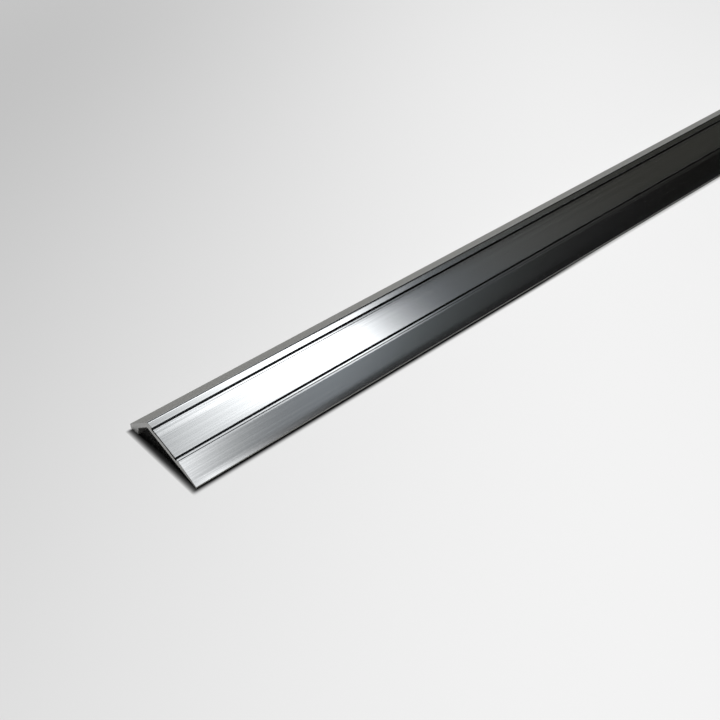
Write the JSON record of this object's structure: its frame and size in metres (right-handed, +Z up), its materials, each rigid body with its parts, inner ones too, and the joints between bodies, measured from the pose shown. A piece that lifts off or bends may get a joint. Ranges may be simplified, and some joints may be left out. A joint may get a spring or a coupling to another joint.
{
  "type": "tile edge trim",
  "caption": "Straight extruded aluminium ramp trim: a long grooved ramp falls to a thin nose in front of its ridge, a short web runs back down to a foot.",
  "frame": {"origin": "centre of the bounding box's bottom face, on the floor that the bar lies on", "axes": "+X along the bar, +Y from the thin nose towards the foot, +Z up through the ridge"},
  "size_m": [1, 0.0352, 0.01],
  "materials": {
    "anodised_aluminium": "bright anodised, drawn lengthwise"
  },
  "bodies": {
    "root": {"trim_bar": "anodised_aluminium"}
  },
  "joints": []
}
